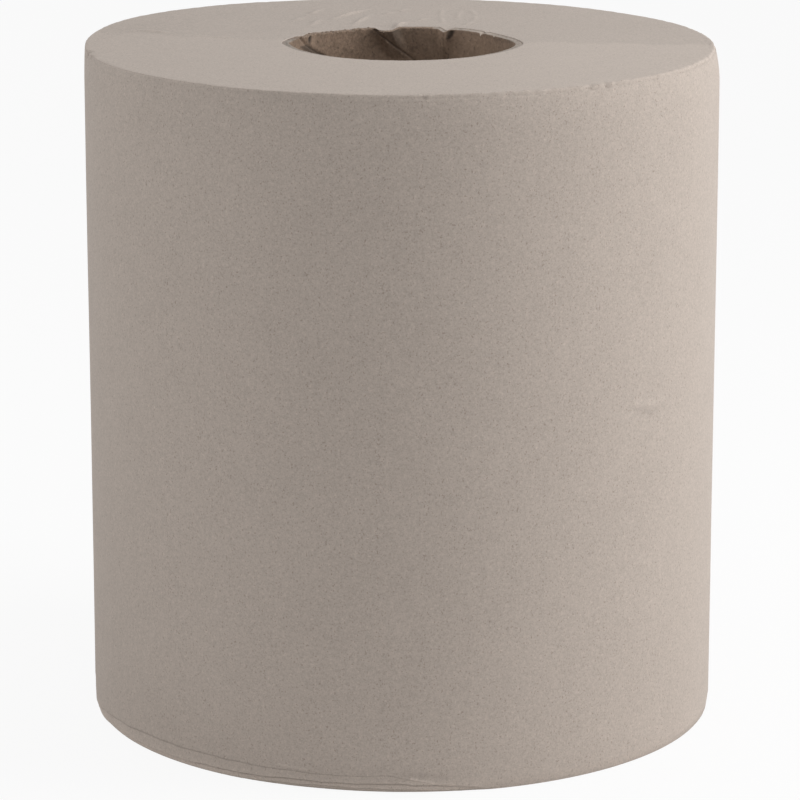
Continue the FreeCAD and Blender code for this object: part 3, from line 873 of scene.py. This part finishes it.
# The board tube. Angles are degrees from +X, lengths in mm, leans degrees for each mm down.
tubeValues = {
    "segments": 720,
    "sheetStep": 0.0,
    "tailAngle": 270.0,
    "unevenness": 0.0,
    "seed": 5.0,
    # the ragged rim: waves, how ragged everywhere, and more so at an angle: spread and amount
    "ragged": (31, (19, 43, 83, 131, 190), (0.05, 0.05, 0.05, 0.05, 0.04)),
    "rough": 0.3,
    "rougher": [(130, 20.0, 1.3), (105, 5.0, 1.4)],
    "rimReach": 3.0,  # depth over which the rim's shape dies out
    "notches": [  # angle, half width in degrees, depth
        (43.5, 1.1, 0.9), (31.5, 0.9, 0.6), (118.0, 1.5, 0.4), (131.0, 1.0, 0.5), (138.0, 0.8, 0.6),
    ],
    # the small gap, painted dark as the shade in it: angle, half width, reach down, lean, depth where it opens, how
    # far out, how dark
    "tear": (148.3, 2.4, 2.9, 0.25, 0.6, 0.9, 2.2),
    # the crack beside the sharp kink, drawn only as painted shade: degrees off its crest, lean, half width
    # and how fast that narrows, its least, how sharp, how dark
    "crack": (3.2, 0.7, 3.0, 0.7, 0.3, 1.5, 0.9),
    "crackDepths": ((0.1, 0.35), (2.6, 3.2)),
    "crushed": ((72, 75), (158, 170)),  # the end is crushed and dirty between these angles
    "endDips": (-0.05, 0.0, 0.0, -0.06, 0.0, 0.0, -0.10),  # the end face's edges and the line between its plies
    "endLift": (0.28, 0.15),  # the end stands above the solid's, more where it is crushed
    "endClean": (1.0, 0.85, 0.25),  # how clean the end is, what crushing takes off, its inner edge
    "plyLine": (3, 0.12),  # the line between the plies: row of the end face, how dark
    "speckSeed": 41,
    "dirt": (0.9, 0.7, (0.72, 0.95)),  # depth, how dark, which share of the specks
    "crumbled": (105.5, 3.5, 1.6, 0.9, (0.35, 0.75)),  # angle, spread, then as for the dirt
    "tips": [(178.0, 17.0, -0.16), (46.0, 17.0, 0.32)],  # painted light and shade of the tips: angle, spread, amount; the left tip is painted darker, the right one lighter
    "overhang": (32.0, 26.0, (0.8, 1.5), 0.18),  # painted shade below the rim: angle, spread, depths, how dark
    # painted shades in the dent and on its flank: angle, lean, spread, reach down, how dark
    "dentShade": (97.0, 0.75, 7.0, 8.0, 0.35),
    "flankShade": (93.5, 0.3, 3.8, 9.0, 0.5),
    "darkest": 0.95,
}


def tubeProfile():
    outside, wall = mouthValues["tubeOutside"], mouthValues["wall"]
    inside, low, high = outside - wall, tubeFoot / mm, tubeTop / mm
    near = [high - d for d in (18.0, 14.0, 11.0, 8.0, 6.0, 4.0, 2.0, 1.0, 0.0)]
    fine = np.concatenate([np.linspace(0.12, 16, 46), np.linspace(18, 40, 8), np.linspace(50, high - low, 8)])
    return joinZones(
        ("outside", [(outside, z, 0.0) for z in [low, 60.0, 120.0] + near]),
        ("end", [(outside - wall * t, high, 0.0) for t in (0.06, 0.3, 0.44, 0.5, 0.56, 0.75, 0.94)]),
        ("inside", [(inside, high - d, 0.0) for d in fine]),
        ("foot", [(inside + wall * t, low, 0.0) for t in (0.1, 0.5, 1.0)]),
    )


def darken(crevice, dark):
    crevice[:] = np.maximum(crevice, dark)


# Seams run up the inside along the helix, and the inner ply ends there; their grooves are darkened with painted
# shade, and the ply's edge gets a painted highlight
def cutSeams(values, angle, below, radius, crevice, tone):
    shallow = 1 - softStep(below, *values["deep"])
    (begins, length, most), (back, backSpread) = values["curlPath"], values["plyStep"]
    paleLow, paleHigh, paler = values["otherDark"]
    leftStart, leftFull, rightStart, rightEnd = values["lifted"]
    beside, spread, light = values["plyEdgeHighlight"]
    for start, half, deep, dark, torn in values["seams"]:
        line = start - below * 360.0 / values["pitch"]
        if torn:
            line = line + values["curl"] * np.clip((begins - below) / length, 0, most)
        away = wrapped(angle - line)
        groove = np.clip(1 - np.abs(away) / half, 0, 1) * shallow
        step = np.where(away < 0, np.exp(-np.abs(away) / backSpread), 0) * back * shallow
        radius += deep * groove + step
        if torn:
            show = softStep(below, *values["tornDark"])
        else:
            show = 1 - paler * softStep(below, paleLow, paleHigh)
        # painted shade in the groove
        darken(crevice, dark * show * groove ** values["grooveFade"])
        if torn:  # painted shade: the lifted ply's shadow on the wall below it
            lifted = softStep(away, leftStart, leftFull) * (1 - softStep(away, rightStart, rightEnd))
            lifted = lifted * (1 - softStep(below, *values["liftedReach"]))
            darken(crevice, values["liftedDark"] * show * lifted)
        # painted highlight on the ply's edge beside the seam
        tone += light * show * shallow * bell(away + beside, spread)


# The small torn gap, and the crack in the fold beside the sharp kink; both are painted dark as shade
def cutTears(values, angle, below, radius, crevice):
    place, half, reach, lean, opens, deep, dark = values["tear"]
    away = np.abs(wrapped(angle - place - below * lean)) / half
    hole = np.clip(1 - away, 0, 1) * np.clip(1 - below / reach, 0, 1) * np.clip(below / opens, 0, 1)
    radius += deep * hole
    # painted shade in the gap
    darken(crevice, np.clip(hole * dark, 0, 1))
    beside, lean, half, narrows, least, sharp, dark = values["crack"]
    kink = mouthValues["folds"][1][0]
    away = np.abs(wrapped(angle - (kink - beside) - lean * below))
    crack = np.clip(sharp * (1 - away / np.maximum(half - narrows * below, least)), 0, 1)
    opens, ends = values["crackDepths"]
    crack = crack * softStep(below, *opens) * (1 - softStep(below, *ends))
    # painted shade of the crack
    darken(crevice, dark * crack)


# The end face is clean and light on the right and at the left tip, and crushed and dirty between
def shadeEnd(values, zones, around, angle, below, fade, height, crevice, endFace):
    end, inside = zones["end"], zones["inside"]
    starts, ends = values["crushed"]
    crushed = softStep(around, *starts) * (1 - softStep(around, *ends))
    lift, lifted = values["endLift"]
    clean, taken, edge = values["endClean"]
    height[:, end] += np.array(values["endDips"])[None, :]
    height += (lift + lifted * crushed)[:, None] * fade
    endFace[:, end] = (clean - taken * crushed)[:, None]
    row, dark = values["plyLine"]
    crevice[:, end.start + row] = dark
    endFace[:, inside.start] = edge * (1 - crushed)
    speckle = np.random.default_rng(values["speckSeed"]).uniform(0, 1, below.shape)
    deep, dark, levels = values["dirt"]
    darken(crevice, dark * (np.exp(-below / deep) * crushed[:, None]) * softStep(speckle, *levels))
    place, spread, deep, dark, levels = values["crumbled"]
    crumbled = bell(wrapped(angle - place), spread) * np.exp(-below / deep)
    darken(crevice, dark * crumbled * softStep(speckle, *levels))


# Painted light and shade inside the tube: tones of the tips, the shade below the rim, and the shades in the dent and
# on its flank
def shadeInside(values, inside, around, angle, below, crevice, tone):
    for place, spread, amount in values["tips"]:
        tone += amount * bell(around - place, spread)[:, None]
    place, spread, depths, dark = values["overhang"]
    overhang = (1 - softStep(below[:, inside], *depths)) * bell(around - place, spread)[:, None]
    tone[:, inside] -= dark * overhang

    def shade(place, lean, spread, reach, dark):
        near = bell(wrapped(angle - place + lean * below), spread) * np.clip(1 - below / reach, 0, 1)
        return dark * near[:, inside]

    darken(crevice[:, inside], shade(*values["dentShade"]))
    flank = crevice[:, inside] + shade(*values["flankShade"])
    crevice[:, inside] = np.clip(flank, 0, values["darkest"])


def makeTube(values):
    profile, zones = tubeProfile()
    mesh = windProfile("coreTube", wind, profile, values, coreBoard)
    angle, radius, height = gridOf(mesh, len(profile))
    below = np.clip(tubeTop / mm - height, 0, None)
    crevice, endFace, tone = (np.zeros_like(radius) for _ in range(3))
    out, sag = mouthShift(angle, below + (rollHeight - tubeTop) / mm)
    radius = radius + out

    # ragged rim: it sags at the folds, with nicks and fluff
    start = angle[:, 0]
    rough = values["rough"]
    for place, spread, amount in values["rougher"]:
        rough = rough + amount * bell(wrapped(start - place), spread)
    drop = waves(start, *values["ragged"]) * rough
    for place, half, deep in values["notches"]:
        drop = drop + deep * np.clip(1 - np.abs(wrapped(start - place)) / half, 0, 1)
    fade = np.clip(1 - below / values["rimReach"], 0, 1)
    height = height - (sag + drop[:, None]) * fade

    inside, around = zones["inside"], start % 360.0
    wall = (angle[:, inside], below[:, inside], radius[:, inside], crevice[:, inside])
    cutSeams(seamValues, *wall, tone[:, inside])
    cutTears(values, *wall)
    shadeEnd(values, zones, around, angle, below, fade, height, crevice, endFace)
    shadeInside(values, inside, around, angle, below, crevice, tone)
    setGrid(mesh, radius, angle, height)
    paint(mesh, crevice=crevice, endFace=endFace, tone=tone)
    piece = closedPiece("coreTube", mesh)
    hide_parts("core_tube")
    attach(piece, "root")
    return piece


makeTube(tubeValues)
print("tube made")


# Floor, backdrop and lamps.
studioValues = {
    "floorReach": 3.0,
    "floorColour": 0.86,
    "floorShow": 0.90,  # share of plain white that the camera sees on the floor
    "ambient": 0.53,
    "aim": (0, 0, 0.1),  # the roll's middle
    # name, place, size, power
    "lamps": [
        ("rightLamp", (1.24, -0.16, 0.50), 0.7, 8.0),
        ("leftLamp", (-1.25, -0.02, 0.45), 0.7, 3.0),
        ("topLamp", (0.40, 0.0, 0.60), 0.3, 1.0),
    ],
}


# 1 where the camera, a mirror or glass sees the surface
def cameraRay(tree):
    path = tree.nodes.new("ShaderNodeLightPath")
    seen = mathNode(tree, "MAXIMUM", path.outputs["Is Camera Ray"], path.outputs["Is Glossy Ray"])
    return mathNode(tree, "MAXIMUM", seen, path.outputs["Is Transmission Ray"])


def makeBackdrop(values):
    world = bpy.data.worlds.new("studio")
    bpy.context.scene.world = world
    world.use_nodes = True
    tree = world.node_tree
    background = tree.nodes["Background"]
    strength = mathNode(tree, "MULTIPLY", cameraRay(tree), 1 - values["ambient"])
    strength = mathNode(tree, "ADD", strength, values["ambient"])
    tree.links.new(strength, background.inputs["Strength"])
    background.inputs["Color"].default_value = (1, 1, 1, 1)


def makeFloor(values):
    mesh, r = bpy.data.meshes.new("floor"), values["floorReach"]
    mesh.from_pydata([(-r, -r, 0), (r, -r, 0), (r, r, 0), (-r, r, 0)], [], [(0, 1, 2, 3)])
    floor = bpy.data.objects.new("floor", mesh)
    bpy.context.scene.collection.objects.link(floor)
    material = bpy.data.materials.new("paleFloor")
    material.use_nodes = True
    tree = material.node_tree
    tree.nodes.remove(tree.nodes["Principled BSDF"])
    diffuse = addNode(tree, "ShaderNodeBsdfDiffuse", {"Color": (values["floorColour"],) * 3 + (1,)})
    white = tree.nodes.new("ShaderNodeEmission")
    seen = mathNode(tree, "MULTIPLY", cameraRay(tree), values["floorShow"])
    mix = addNode(tree, "ShaderNodeMixShader", {0: seen, 1: diffuse.outputs[0], 2: white.outputs[0]})
    tree.links.new(mix.outputs[0], tree.nodes["Material Output"].inputs[0])
    mesh.materials.append(material)


def makeLamps(values):
    for name, place, size, power in values["lamps"]:
        lamp = bpy.data.lights.new(name, "AREA")
        lamp.size = size
        lamp.energy = power
        lampObject = bpy.data.objects.new(name, lamp)
        lampObject.location = place
        aim = Vector(values["aim"]) - Vector(place)
        lampObject.rotation_euler = aim.to_track_quat("-Z", "Y").to_euler()
        bpy.context.scene.collection.objects.link(lampObject)


makeBackdrop(studioValues)
makeFloor(studioValues)
makeLamps(studioValues)
bpy.context.scene.view_settings.view_transform = "Standard"
print("studio lit")
